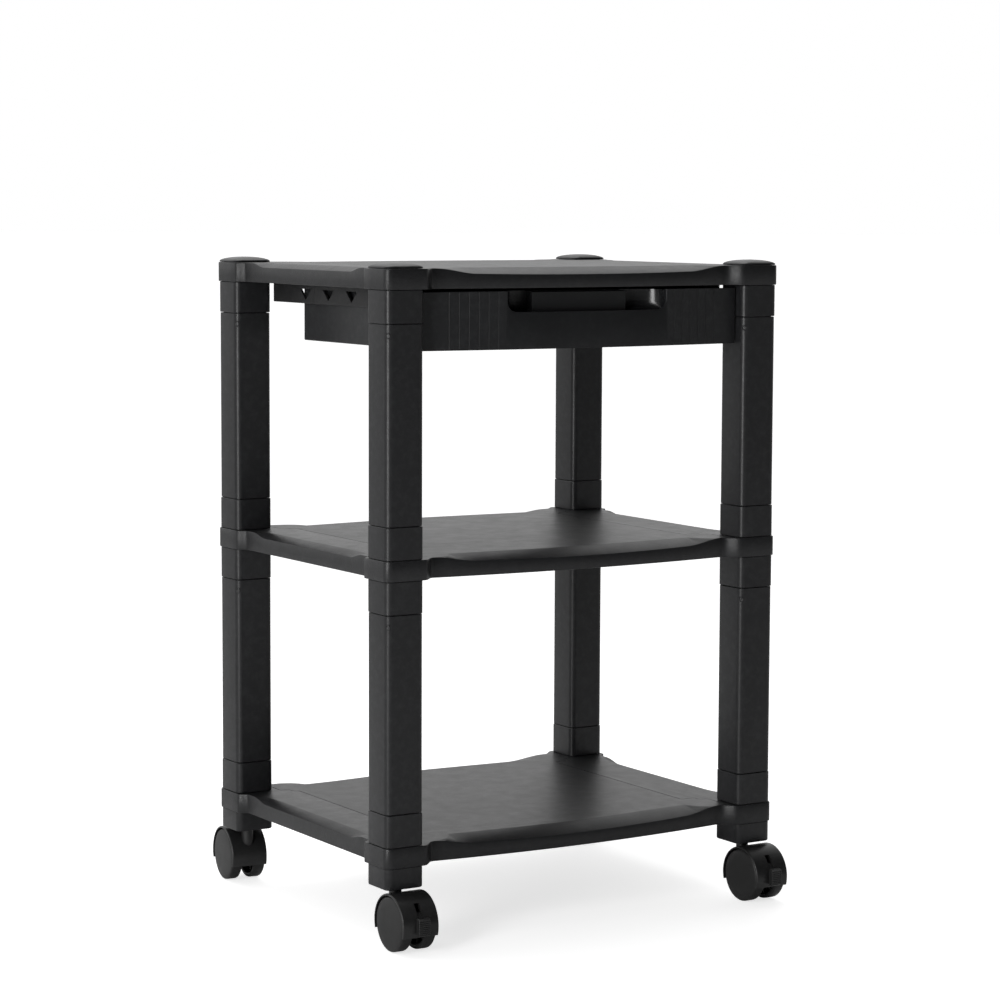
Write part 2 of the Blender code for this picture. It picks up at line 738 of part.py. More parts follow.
def build_pedal(corner, mat, swivel):
    pivot = (0.0, -TRAIL + PEDAL_PIVOT[0], WHEEL_R + PEDAL_PIVOT[1])
    shift = Matrix.Translation((0.0, -PEDAL_PIVOT[0], -PEDAL_PIVOT[1]))
    tab = pedal_mesh()
    tab.transform(shift)
    obj = place(f"brake_pedal_{corner}", tab, mat, pivot, parent=swivel)
    arm = pedal_arm_mesh()
    arm.transform(shift)
    boolean(obj, helper(f"tool_arm_{corner}", arm, pivot, parent=swivel), "UNION")


# ---- the stand ----------------------------------------------------------------------------------
def main():
    clear_scene()
    shelf_mat = material("shelf_plastic", (0.030, 0.030, 0.032), 0.55)
    post_mat = material("post_plastic", (0.028, 0.028, 0.030), 0.50)
    drawer_mat = material("drawer_plastic", (0.026, 0.026, 0.028), 0.50)
    rail_mat = material("rail_plastic", (0.024, 0.024, 0.026), 0.55)
    hood_mat = material("caster_plastic", (0.020, 0.020, 0.021), 0.45)
    wheel_mat = material("wheel_plastic", (0.022, 0.022, 0.023), 0.50)
    steel = material("zinc_steel", (0.60, 0.60, 0.58), 0.35, 1.0)

    build_shelves(shelf_mat)
    build_posts(post_mat, shelf_mat)

    pivot = bpy.data.objects.new("drawer_slide", None)
    bpy.context.scene.collection.objects.link(pivot)
    build_drawer(drawer_mat, pivot)
    build_rails(rail_mat)

    hood = hood_shell_mesh()
    wheel = wheel_mesh()
    for corner in CORNERS:
        build_caster(corner, hood_mat, wheel_mat, steel, hood, wheel)


main()
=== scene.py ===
"""Looks of the mobile printer stand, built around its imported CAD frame. Metres, +Z up."""

import json
import math

import bmesh
import bpy
from mathutils import Matrix, Vector

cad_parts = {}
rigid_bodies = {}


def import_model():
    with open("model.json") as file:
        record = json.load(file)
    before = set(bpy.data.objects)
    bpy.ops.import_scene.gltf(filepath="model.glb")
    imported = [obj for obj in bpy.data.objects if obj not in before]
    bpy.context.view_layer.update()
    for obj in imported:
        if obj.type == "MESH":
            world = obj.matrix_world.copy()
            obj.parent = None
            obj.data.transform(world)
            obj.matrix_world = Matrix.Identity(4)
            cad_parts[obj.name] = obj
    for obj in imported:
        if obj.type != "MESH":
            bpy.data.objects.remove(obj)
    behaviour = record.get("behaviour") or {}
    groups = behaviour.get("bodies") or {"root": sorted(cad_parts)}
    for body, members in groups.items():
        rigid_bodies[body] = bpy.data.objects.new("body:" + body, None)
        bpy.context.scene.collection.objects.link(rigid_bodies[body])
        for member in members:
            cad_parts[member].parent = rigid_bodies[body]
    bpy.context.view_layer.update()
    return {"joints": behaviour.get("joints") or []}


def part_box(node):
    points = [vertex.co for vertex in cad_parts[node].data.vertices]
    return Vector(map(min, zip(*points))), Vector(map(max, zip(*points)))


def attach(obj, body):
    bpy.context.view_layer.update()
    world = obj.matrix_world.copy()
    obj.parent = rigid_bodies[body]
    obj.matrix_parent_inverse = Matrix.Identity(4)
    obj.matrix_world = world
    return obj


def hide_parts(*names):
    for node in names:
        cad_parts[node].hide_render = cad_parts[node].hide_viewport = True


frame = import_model()

# ---- places read from the frame -----------------------------------------------------------------
JOINTS = frame["joints"]
SWIVELS = {j["child"].replace("caster_", "", 1): j for j in JOINTS if j["name"].startswith("swivel_")}
SPINS = {j["parent"].replace("caster_", "", 1): j for j in JOINTS if j["name"].endswith("_spin")}
BRAKES = {j["parent"].replace("caster_", "", 1): j for j in JOINTS if j["name"].startswith("brake_")}
CORNERS = {"front_left": (-1, -1), "front_right": (1, -1), "rear_left": (-1, 1), "rear_right": (1, 1)}
POST_X = abs(SWIVELS["front_right"]["pos_m"][0])
MID_Y = (SWIVELS["rear_left"]["pos_m"][1] + SWIVELS["front_left"]["pos_m"][1]) / 2
POST_Y = SWIVELS["rear_left"]["pos_m"][1] - MID_Y
SHELVES = ("bottom_shelf", "middle_shelf", "top_shelf")
LEVELS = [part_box(name)[0].z for name in SHELVES]
RING_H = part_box("bottom_shelf")[1].z - LEVELS[0]
GAP = 0.0003

# ---- sizes the looks share ------------------------------------------------------------------------
LEG_HALF = 0.0192
LEG_WALL = 0.0026
COLLAR_HALF = 0.0195
RING_HALF = 0.0207
HOLE_HALF = 0.0160
BORE_HALF = 0.0125
POST_R = 0.0062                # corner radius of the posts
BAND_X = 0.2068                # side edge of a shelf
BAND_Y = 0.1672                # front and back edge at the middle
BAND_BOW = 0.0104
BOW_X = 0.1600
FRONT_DROP = 0.0044            # scooped edge, front and back
FRONT_DROP_MID = 0.0018
SIDE_DROP = 0.0039
PLATE_T = 0.0030
RIB_T = 0.0020
FRONT_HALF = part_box("drawer")[1].x
DRAWER_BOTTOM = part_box("drawer")[0].z
DRAWER_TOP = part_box("drawer")[1].z
RAIL_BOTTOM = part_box("left_rail")[0].z
GRIP_HALF = 0.0870
GRIP_BOTTOM = LEVELS[0] + 0.4976
WHEEL_R = 0.0250
CASTER_HALF = 0.0184
TRAIL = 0.0210
HOOD_R = 0.0279
HOOD_INNER_R = 0.0262


# ---- mesh helpers ---------------------------------------------------------------------------------
def mesh_of(name, verts, faces):
    mesh = bpy.data.meshes.new(name)
    mesh.from_pydata([Vector(v) for v in verts], [], faces)
    mesh.update()
    return mesh


def loft(name, loops, ring=False):
    """Skin equal loops that run counter-clockwise and upwards; ring joins the last to the first."""
    count = len(loops[0])
    verts = [p for loop in loops for p in loop]
    faces = []
    pairs = list(zip(range(len(loops) - 1), range(1, len(loops))))
    if ring:
        pairs.append((len(loops) - 1, 0))
    for low, high in pairs:
        for i in range(count):
            j = (i + 1) % count
            faces.append((low * count + i, low * count + j, high * count + j, high * count + i))
    if not ring:
        faces.append(tuple(reversed(range(count))))
        faces.append(tuple((len(loops) - 1) * count + i for i in range(count)))
    return mesh_of(name, verts, faces)


def rounded_square(half, radius, z, steps=7):
    loop = []
    for quarter, (sx, sy) in enumerate(((1, 1), (-1, 1), (-1, -1), (1, -1))):
        for s in range(steps + 1):
            a = math.pi / 2 * (quarter + s / steps)
            x = sx * (half - radius) + radius * math.cos(a)
            y = sy * (half - radius) + radius * math.sin(a)
            loop.append((x, y, z))
    return loop


def square_stack(name, profile, ring=False):
    return loft(name, [rounded_square(*step) for step in profile], ring)


def box(name, low, high):
    (x0, y0, z0), (x1, y1, z1) = low, high
    return loft(name, [[(x0, y0, z), (x1, y0, z), (x1, y1, z), (x0, y1, z)] for z in (z0, z1)])


def soft_box(name, low, high, edge=0.0004):
    """A box whose edges are chamfered all round."""
    (x0, y0, z0), (x1, y1, z1) = low, high
    loops = []
    for inset, z in ((edge, z0), (0.0, z0 + edge), (0.0, z1 - edge), (edge, z1)):
        e = edge - inset
        loops.append([
            (x0 + inset + e, y0 + inset, z), (x1 - inset - e, y0 + inset, z),
            (x1 - inset, y0 + inset + e, z), (x1 - inset, y1 - inset - e, z),
            (x1 - inset - e, y1 - inset, z), (x0 + inset + e, y1 - inset, z),
            (x0 + inset, y1 - inset - e, z), (x0 + inset, y0 + inset + e, z),
        ])
    return loft(name, loops)


def lathe(name, profile, steps, axis="Z"):
    """Turn (radius, height) points, listed from the bottom up, round the axis."""
    verts = []
    rows = []
    for radius, height in profile:
        if radius == 0.0:
            rows.append([len(verts)] * steps)
            verts.append((0.0, 0.0, height))
            continue
        rows.append(list(range(len(verts), len(verts) + steps)))
        for i in range(steps):
            a = 2 * math.pi * i / steps
            verts.append((radius * math.cos(a), radius * math.sin(a), height))
    faces = []
    for low, high in zip(rows, rows[1:]):
        for i in range(steps):
            j = (i + 1) % steps
            faces.append(tuple(dict.fromkeys([low[i], low[j], high[j], high[i]])))
    if axis == "X":
        verts = [(h, x, y) for x, y, h in verts]
    return mesh_of(name, verts, faces)


def slab(name, outline, x_half, spans=1):
    """Extrude a (y, z) outline, counter-clockwise seen from +X, to both sides of the YZ plane."""
    stations = [x_half * (2 * i / spans - 1) for i in range(spans + 1)]
    return loft(name, [[(x, y, z) for y, z in outline] for x in stations])


def join(name, meshes):
    verts = []
    faces = []
    for mesh in meshes:
        base = len(verts)
        verts += [tuple(v.co) for v in mesh.vertices]
        faces += [tuple(base + i for i in f.vertices) for f in mesh.polygons]
    return mesh_of(name, verts, faces)


def moved(mesh, matrix):
    mesh.transform(matrix)
    return mesh


def carve(mesh, steps):
    """Run Boolean steps [(operation, tool mesh), ...] on a mesh, weld what they leave and return it."""
    obj = bpy.data.objects.new("work", mesh)
    bpy.context.scene.collection.objects.link(obj)
    tools = []
    for operation, tool_mesh in steps:
        tool = bpy.data.objects.new("tool", tool_mesh)
        bpy.context.scene.collection.objects.link(tool)
        tools.append(tool)
        mod = obj.modifiers.new(operation, "BOOLEAN")
        mod.operation = operation
        mod.solver = "EXACT"
        mod.object = tool
    graph = bpy.context.evaluated_depsgraph_get()
    result = bpy.data.meshes.new_from_object(obj.evaluated_get(graph))
    result.name = mesh.name + "_form"
    form = bmesh.new()
    form.from_mesh(result)
    bmesh.ops.remove_doubles(form, verts=form.verts, dist=1e-6)
    bmesh.ops.dissolve_degenerate(form, edges=form.edges, dist=1e-6)
    form.to_mesh(result)
    form.free()
    for item in [obj, *tools]:
        bpy.data.objects.remove(item, do_unlink=True)
    return result


def smoothstep(value, start, end):
    t = min(max((value - start) / (end - start), 0.0), 1.0)
    return t * t * (3 - 2 * t)


def along(points, t):
    """Point at share t of a polyline's steps, eased by a Catmull-Rom curve."""
    spans = len(points) - 1
    at = min(max(t, 0.0), 1.0) * spans
    i = min(int(at), spans - 1)
    u = at - i
    p = [Vector(points[min(max(i + k, 0), spans)]) for k in (-1, 0, 1, 2)]
    return 0.5 * (2 * p[1] + (p[2] - p[0]) * u + (2 * p[0] - 5 * p[1] + 4 * p[2] - p[3]) * u * u
                  + (3 * p[1] - p[0] - 3 * p[2] + p[3]) * u ** 3)


# ---- materials ------------------------------------------------------------------------------------
class Nodes:
    """A small wrapper for building node trees."""

    def __init__(self, name):
        self.mat = bpy.data.materials.new(name)
        self.mat.use_nodes = True
        self.tree = self.mat.node_tree
        self.shader = self.tree.nodes["Principled BSDF"]

    def add(self, kind, **values):
        node = self.tree.nodes.new(kind)
        for key, value in values.items():
            setattr(node, key, value)
        return node

    def link(self, source, target):
        self.tree.links.new(source, target)

    def ramp(self, source, stops):
        """Map a value through (position, value) stops."""
        node = self.add("ShaderNodeValToRGB")
        first, last = node.color_ramp.elements[0], node.color_ramp.elements[1]
        first.position, last.position = stops[0][0], stops[-1][0]
        first.color = (*[stops[0][1]] * 3, 1)
        last.color = (*[stops[-1][1]] * 3, 1)
        for position, value in stops[1:-1]:
            node.color_ramp.elements.new(position).color = (*[value] * 3, 1)
        self.link(source, node.inputs["Fac"])
        return node.outputs["Color"]

    def noise(self, vector, scale, detail=3.0, rough=0.5):
        node = self.add("ShaderNodeTexNoise")
        node.inputs["Scale"].default_value = scale
        node.inputs["Detail"].default_value = detail
        node.inputs["Roughness"].default_value = rough
        self.link(vector, node.inputs["Vector"])
        return node.outputs["Fac"]

    def math(self, operation, a, b):
        node = self.add("ShaderNodeMath", operation=operation)
        for socket, value in zip(node.inputs, (a, b)):
            if isinstance(value, (int, float)):
                socket.default_value = value
            else:
                self.link(value, socket)
        return node.outputs[0]

    def mix(self, fac, a, b):
        node = self.add("ShaderNodeMix", data_type="RGBA")
        self.link(fac, node.inputs["Factor"])
        for socket, value in ((node.inputs["A"], a), (node.inputs["B"], b)):
            if isinstance(value, tuple):
                socket.default_value = (*value, 1.0)
            else:
                self.link(value, socket)
        return node.outputs["Result"]


def plastic(name, colour, roughness, grain=900.0, bump=0.25, specular=0.5, wear=0.5, pebble=0.0):
    """Moulded plastic: fine spark-eroded grain, faint flow marks, rubbed edges and a little dust."""
    n = Nodes(name)
    place = n.add("ShaderNodeTexCoord").outputs["Object"]
    shift = n.add("ShaderNodeObjectInfo").outputs["Random"]
    offset = n.add("ShaderNodeVectorMath", operation="ADD")
    n.link(place, offset.inputs[0])
    n.link(n.math("MULTIPLY", shift, 7.0), offset.inputs[1])
    where = offset.outputs["Vector"]

    broad = n.noise(where, 9.0, 4.0, 0.55)
    patch = n.noise(where, 60.0, 5.0, 0.6)
    fine = n.noise(where, grain, 2.0, 0.6)
    edge = n.ramp(n.add("ShaderNodeNewGeometry").outputs["Pointiness"], [(0.50, 0.0), (0.56, 1.0)])
    scuff = n.ramp(n.noise(where, 140.0, 6.0, 0.7), [(0.46, 0.0), (0.66, 1.0)])

    base = tuple(colour)
    dark = tuple(c * 0.86 for c in base)
    light = tuple(min(c * 1.16, 1.0) for c in base)
    worn = tuple(min(c * 1.9 + 0.012, 1.0) for c in base)
    tone = n.mix(n.ramp(broad, [(0.30, 0.0), (0.70, 1.0)]), dark, light)
    tone = n.mix(n.ramp(fine, [(0.35, 0.0), (0.70, 0.35)]), tone, light)
    uneven = n.math("ADD", n.math("MULTIPLY", scuff, 0.7), 0.3)
    rub = n.math("MULTIPLY", n.math("MULTIPLY", edge, wear), uneven)
    tone = n.mix(rub, tone, worn)
    n.link(tone, n.shader.inputs["Base Color"])

    spread = n.math("MULTIPLY", n.math("SUBTRACT", patch, 0.5), 0.16)
    gloss = n.math("ADD", n.math("ADD", spread, roughness), n.math("MULTIPLY", rub, -0.10))
    n.link(gloss, n.shader.inputs["Roughness"])
    n.shader.inputs["Specular IOR Level"].default_value = specular

    height = n.math("ADD", n.math("MULTIPLY", fine, 1.0), n.math("MULTIPLY", patch, 0.10))
    if pebble:
        cells = n.add("ShaderNodeTexVoronoi", feature="SMOOTH_F1")
        cells.inputs["Scale"].default_value = pebble
        cells.inputs["Smoothness"].default_value = 0.6
        warp = n.add("ShaderNodeVectorMath", operation="ADD")
        n.link(where, warp.inputs[0])
        n.link(n.math("MULTIPLY", n.noise(where, pebble * 0.6, 2.0, 0.5), 0.0016), warp.inputs[1])
        n.link(warp.outputs["Vector"], cells.inputs["Vector"])
        height = n.math("ADD", height, n.math("MULTIPLY", cells.outputs["Distance"], 1.6))
    node = n.add("ShaderNodeBump")
    node.inputs["Strength"].default_value = bump
    node.inputs["Distance"].default_value = 0.0002
    n.link(height, node.inputs["Height"])
    n.link(node.outputs["Normal"], n.shader.inputs["Normal"])
    return n.mat


def metal(name, colour, roughness, turned=400.0):
    """Plated steel with fine turning marks and a little dullness."""
    n = Nodes(name)
    place = n.add("ShaderNodeTexCoord").outputs["Object"]
    stretch = n.add("ShaderNodeMapping")
    stretch.inputs["Scale"].default_value = (0.2, 0.2, 3.0)
    n.link(place, stretch.inputs["Vector"])
    lines = n.noise(stretch.outputs["Vector"], turned, 3.0, 0.6)
    cloud = n.noise(place, 160.0, 4.0, 0.6)
    dark = tuple(c * 0.72 for c in colour)
    tone = n.mix(n.ramp(cloud, [(0.35, 0.0), (0.70, 1.0)]), dark, tuple(colour))
    n.link(tone, n.shader.inputs["Base Color"])
    rough = n.math("ADD", n.math("MULTIPLY", lines, 0.18), roughness - 0.09)
    n.link(rough, n.shader.inputs["Roughness"])
    n.shader.inputs["Metallic"].default_value = 1.0
    node = n.add("ShaderNodeBump")
    node.inputs["Strength"].default_value = 0.15
    node.inputs["Distance"].default_value = 0.0001
    n.link(lines, node.inputs["Height"])
    n.link(node.outputs["Normal"], n.shader.inputs["Normal"])
    return n.mat


CHARCOAL = (0.0108, 0.0110, 0.0120)
MAT = {
    "shelf": plastic("shelf_pebbled", CHARCOAL, 0.38, grain=1100.0, bump=0.35, specular=0.40, pebble=1000.0),
    "post": plastic("post_satin", CHARCOAL, 0.36, grain=1300.0, bump=0.22, specular=0.36),
    "cap": plastic("cap_satin", CHARCOAL, 0.34, grain=1300.0, bump=0.20, specular=0.40),
    "drawer": plastic("drawer_satin", (0.0110, 0.0114, 0.0124), 0.36, grain=1200.0, bump=0.22, specular=0.36),
    "recess": plastic("recess_gloss", (0.0100, 0.0104, 0.0112), 0.24, grain=700.0, bump=0.05, specular=0.55),
    "rail": plastic("rail_satin", (0.0110, 0.0111, 0.0116), 0.50, grain=1000.0, bump=0.25, specular=0.40),
    "hood": plastic("hood_nylon", (0.0135, 0.0135, 0.0137), 0.36, grain=1600.0, bump=0.22, specular=0.50),
    "wheel": plastic(
        "wheel_nylon", (0.0170, 0.0170, 0.0171), 0.46, grain=1500.0, bump=0.25, specular=0.34, wear=0.8,
    ),
    "stem": metal("stem_black", (0.060, 0.060, 0.062), 0.42),
    "axle": metal("axle_zinc", (0.52, 0.52, 0.50), 0.34),
    "screw": metal("screw_zinc", (0.74, 0.74, 0.72), 0.24),
}


def piece(name, mesh, material, body, nodes=(), at=(0.0, 0.0, 0.0), turn=0.0, smooth=30):
    if not mesh.materials:
        mesh.materials.append(MAT[material])
        mesh.shade_smooth()
        mesh.set_sharp_from_angle(angle=math.radians(smooth))
    obj = bpy.data.objects.new(name, mesh)
    bpy.context.scene.collection.objects.link(obj)
    obj.location = at
    obj.rotation_euler = (0.0, 0.0, turn)
    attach(obj, body)
    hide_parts(*nodes)
    return obj


# ---- shelves --------------------------------------------------------------------------------------
def front_edge(x):
    return BAND_Y - BAND_BOW * (x / BOW_X) ** 2


def shelf_quarter():
    """Stations from the middle of the front to the middle of the right side: (edge point, point where the
    flat top begins, drop of the edge). A top point of None sits just inside the edge."""
    ring_x = POST_X + RING_HALF
    ring_y = POST_Y + RING_HALF
    scoop_end = [
        (0.1330, -0.1367), (0.1352, -0.1420), (0.1405, -0.1490), (0.1490, -0.1540), (0.1590, -0.1560),
    ]
    stations = []
    fade_start, fade_end, corner = 0.1180, 0.1595, 0.1330
    spread = [0.0118 * i for i in range(9)]
    spread += [0.1060 + (0.1590 - 0.1060) * i / 26 for i in range(27)]
    for x in spread:
        crown = FRONT_DROP_MID * max(1 - (x / 0.1400) ** 2, 0.0)
        drop = (FRONT_DROP + crown) * (1 - smoothstep(x, fade_start, fade_end))
        top = (x, -(0.1466 - 0.0736 * math.hypot(x, 0.020)))
        if x > corner:
            top = tuple(along(scoop_end, (x - corner) / (0.1590 - corner)))
        stations.append(((x, -front_edge(x)), top, drop))
    start, end = 0.1600, 0.1752
    for i in range(1, 11):
        x = start + (end - start) * i / 10
        y = front_edge(start) + (ring_y - front_edge(start)) * smoothstep(x, start, end)
        stations.append(((x, -y), None, 0.0))
    radius = 0.0070
    stations.append(((0.1850, -ring_y), None, 0.0))
    for s in range(9):
        a = math.pi / 2 * (s / 8 - 1)
        point = (ring_x - radius + radius * math.cos(a), -ring_y + radius + radius * math.sin(a))
        stations.append((point, None, 0.0))
    stations.append(((ring_x, -0.1400), None, 0.0))
    start, end = 0.1190, 0.1282
    for i in range(9):
        y = end - (end - start) * i / 8
        x = BAND_X + (ring_x - BAND_X) * smoothstep(y, start, end)
        stations.append(((x, -y), None, 0.0))
    side_end = [(0.2060, -0.1080), (0.2022, -0.1062), (0.1988, -0.1030), (0.1968, -0.0975), (0.1952, -0.0860)]
    count = 14
    for i in range(count + 1):
        t = i / count
        y = 0.1090 - 0.0240 * t
        top = along(side_end, t)
        stations.append(((BAND_X, -y), (top.x, top.y), SIDE_DROP * (1 - smoothstep(y, 0.0840, 0.1070))))
    for y in (0.070, 0.045, 0.020, 0.0):
        stations.append(((BAND_X, -y), (0.1950, -y), SIDE_DROP))
    return stations


def mirrored(stations, sx, sy):
    flip = []
    for edge, top, drop in reversed(stations):
        flip.append(((edge[0] * sx, edge[1] * sy), top and (top[0] * sx, top[1] * sy), drop))
    return flip


def shelf_blank():
    quarter = shelf_quarter()
    right = quarter + mirrored(quarter[:-1], 1, -1)
    stations = right + mirrored(right[1:-1], -1, 1)
    count = len(stations)
    edges = [Vector(s[0]) for s in stations]
    loops = [[] for _ in range(9)]
    for i, (edge, top, drop) in enumerate(stations):
        run = (edges[(i + 1) % count] - edges[i - 1]).normalized()
        inward = Vector((-run.y, run.x))
        edge = edges[i]
        rim = RING_H - drop
        top = Vector(top) if top else edge + inward * 0.0012
        if (top - edge).length < 0.0012:
            top = edge + inward * 0.0012
        into = (top - edge).normalized()
        width = (top - edge).length
        for loop, setback, z in (
            (0, 0.0006, 0.0), (1, 0.0002, 0.0002), (2, 0.0, 0.0007), (3, 0.0, rim - 0.0008),
            (4, 0.00022, rim - 0.00025),
        ):
            p = edge + inward * setback
            loops[loop].append((p.x, p.y, z))
        for loop, share in ((5, min(0.0008 / width, 0.40)), (6, 0.65), (7, 1.0)):
            p = edge + into * width * share
            loops[loop].append((p.x, p.y, rim + drop * share ** 1.15))
        p = top + into * 0.0006
        loops[8].append((p.x, p.y, RING_H))
    return loft("shelf", loops)


def rib_pockets():
    columns, rows = 7, 6
    inner_x = BAND_X - 0.0025
    inner_y = front_edge(0.150) - 0.0025
    pitch_x = 2 * inner_x / columns
    pitch_y = 2 * inner_y / rows
    pockets = []
    for i in range(columns):
        for j in range(rows):
            side = i in (0, columns - 1)
            end = j in (0, rows - 1)
            if side and end:
                continue
            depth = RING_H - PLATE_T
            if side:
                depth -= SIDE_DROP
            if end:
                depth -= FRONT_DROP + FRONT_DROP_MID
            x0 = -inner_x + i * pitch_x
            y0 = -inner_y + j * pitch_y
            low, high = [], []
            for draft, z, loop in ((0.0, -0.001, low), (0.0005, depth, high)):
                e = RIB_T / 2 + draft
                loop += [(x0 + e, y0 + e, z), (x0 + pitch_x - e, y0 + e, z),
                         (x0 + pitch_x - e, y0 + pitch_y - e, z), (x0 + e, y0 + pitch_y - e, z)]
            pockets.append(loft("pocket", [low, high]))
    return join("pockets", pockets)


def groove(points, width, depth):
    """A shallow channel along an open line on the shelf's top."""
    line = [Vector(p) for p in points]
    left, right = [], []
    for i, p in enumerate(line):
        run = (line[min(i + 1, len(line) - 1)] - line[max(i - 1, 0)]).normalized()
        side = Vector((-run.y, run.x)) * width / 2
        left.append(p + side)
        right.append(p - side)
    outline = right + left[::-1]
    return loft("groove", [[(p.x, p.y, z) for p in outline] for z in (RING_H - depth, RING_H + 0.001)])


def shelf_mesh():
    steps = [("DIFFERENCE", rib_pockets())]
    hole = [(HOLE_HALF, 0.0040, -0.002, 3), (HOLE_HALF, 0.0040, RING_H + 0.002, 3)]
    for sx, sy in CORNERS.values():
        at = Matrix.Translation((sx * POST_X, sy * POST_Y, 0.0))
        steps.append(("DIFFERENCE", moved(square_stack("hole", hole), at)))
    for x, side in ((0.1550, -1), (0.1457, 1)):
        steps.append(("DIFFERENCE", groove(plate_line(x, side), 0.0009, 0.0005)))
    return carve(shelf_blank(), steps)


def plate_line(x, side):
    """Line that bounds the shelf's middle panel and steps out round the posts at both ends."""
    pad = POST_X - 0.0250
    turn = [(pad, 0.1430), (pad, 0.1270), (pad - 0.0010, 0.1246), (pad - 0.0032, 0.1236)]
    turn += [(pad - 0.0060, 0.1232), (pad - 0.0078, 0.1222), (pad - 0.0084, 0.1204), (pad - 0.0086, 0.1168),
             (pad - 0.0094, 0.1146), (pad - 0.0110, 0.1136)]
    turn += [(x + 0.0030, 0.1134), (x + 0.0009, 0.1127), (x, 0.1106)]
    front = [(side * px, -py) for px, py in turn]
    return front + [(px, -py) for px, py in reversed(front)]


def build_shelves():
    mesh = shelf_mesh()
    for name, level in zip(SHELVES, LEVELS):
        piece(f"{name}_form", mesh, "shelf", "stand", [name], (0.0, MID_Y, level), smooth=24)


# ---- posts ----------------------------------------------------------------------------------------
def leg_mesh(height):
    inner = LEG_HALF - LEG_WALL
    edge = 0.00035
    profile = [
        (LEG_HALF - edge, POST_R - edge, 0.0),
        (LEG_HALF, POST_R, edge),
        (LEG_HALF, POST_R, height - edge),
        (LEG_HALF - edge, POST_R - edge, height),
        (inner, POST_R - LEG_WALL, height),
        (inner, POST_R - LEG_WALL, 0.0),
    ]
    return join("leg", [square_stack("tube", profile, ring=True), catch_mark(height - 0.0100)])


def catch_mark(z):
    """The small round snap button that shows on a rounded corner under the collar."""
    steps = 20
    section = [
        (0.00110, -0.00020), (0.00125, 0.00022), (0.00165, 0.00038), (0.00215, 0.00024), (0.00240, -0.00020),
    ]
    centre = -(LEG_HALF - POST_R)
    facing = math.radians(225)
    loops = []
    for i in range(steps):
        a = -2 * math.pi * i / steps
        loop = []
        for radius, rise in section:
            around = facing + radius * math.cos(a) / POST_R
            out = POST_R + rise
            loop.append((centre + out * math.cos(around), centre + out * math.sin(around),
                         z + 1.25 * radius * math.sin(a)))
        loops.append(loop)
    return loft("catch", loops, ring=True)


def connector_mesh():
    neck = RING_H / 2 - GAP
    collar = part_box("lower_leg_front_left")[0].z - LEVELS[0] - RING_H - 3 * GAP
    plug_half = LEG_HALF - LEG_WALL - GAP
    plug_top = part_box("lower_leg_base_front_left")[1].z - LEVELS[0] - RING_H - GAP
    edge = 0.0004
    profile = [
        (HOLE_HALF - GAP, 0.0037, -neck),
        (HOLE_HALF - GAP, 0.0037, 0.0),
        (COLLAR_HALF - edge, POST_R - edge, 0.0),
        (COLLAR_HALF, POST_R, edge),
        (COLLAR_HALF, POST_R, collar - edge),
        (COLLAR_HALF - edge, POST_R - edge, collar),
        (plug_half, 0.0031, collar),
        (plug_half, 0.0031, plug_top - 0.001),
        (plug_half - 0.001, 0.0024, plug_top),
        (BORE_HALF, 0.0020, plug_top),
        (BORE_HALF, 0.0020, -neck),
    ]
    return square_stack("connector", profile, ring=True)


def cap_mesh():
    neck = RING_H / 2 - GAP
    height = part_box("top_cap_front_left")[1].z - LEVELS[2] - RING_H - GAP
    base = 0.0199
    rise = 0.0008
    profile = [
        (HOLE_HALF - GAP, 0.0037, -neck),
        (HOLE_HALF - GAP, 0.0037, 0.0),
        (base - 0.0004, 0.0066, 0.0),
        (base - 0.0003, 0.0066, 0.0002),
        (base, 0.0068, rise - 0.0002),
    ]
    count = 12
    for i in range(1, count + 1):
        a = math.pi / 2 * i / count
        half = 0.0006 + (base - 0.0006) * math.cos(a) ** 0.92
        corner = (0.0068 / base + 0.35 * (i / count) ** 2) * half
        profile.append((half, corner, rise + (height - rise) * math.sin(a) ** 1.05))
    return square_stack("cap", profile)


def foot_mesh():
    foot_h = LEVELS[0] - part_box("foot_front_left")[0].z
    edge = 0.0009
    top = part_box("foot_front_left")[1].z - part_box("foot_front_left")[0].z
    profile = [
        (COLLAR_HALF - edge, POST_R - edge, 0.0),
        (COLLAR_HALF - 0.0003, POST_R - 0.0003, 0.0003),
        (COLLAR_HALF, POST_R, edge),
        (COLLAR_HALF, POST_R, foot_h - 0.0006),
        (COLLAR_HALF - 0.0003, POST_R - 0.0003, foot_h - GAP),
        (HOLE_HALF - GAP, 0.0037, foot_h - GAP),
        (HOLE_HALF - GAP, 0.0037, top),
    ]
    bore = [(0.0, -0.001), (0.0061, -0.001), (0.0053, 0.0008), (0.0053, 0.040), (0.0, 0.040)]
    socket = lathe("socket", bore, 32)
    return carve(square_stack("foot", profile), [("DIFFERENCE", socket)])


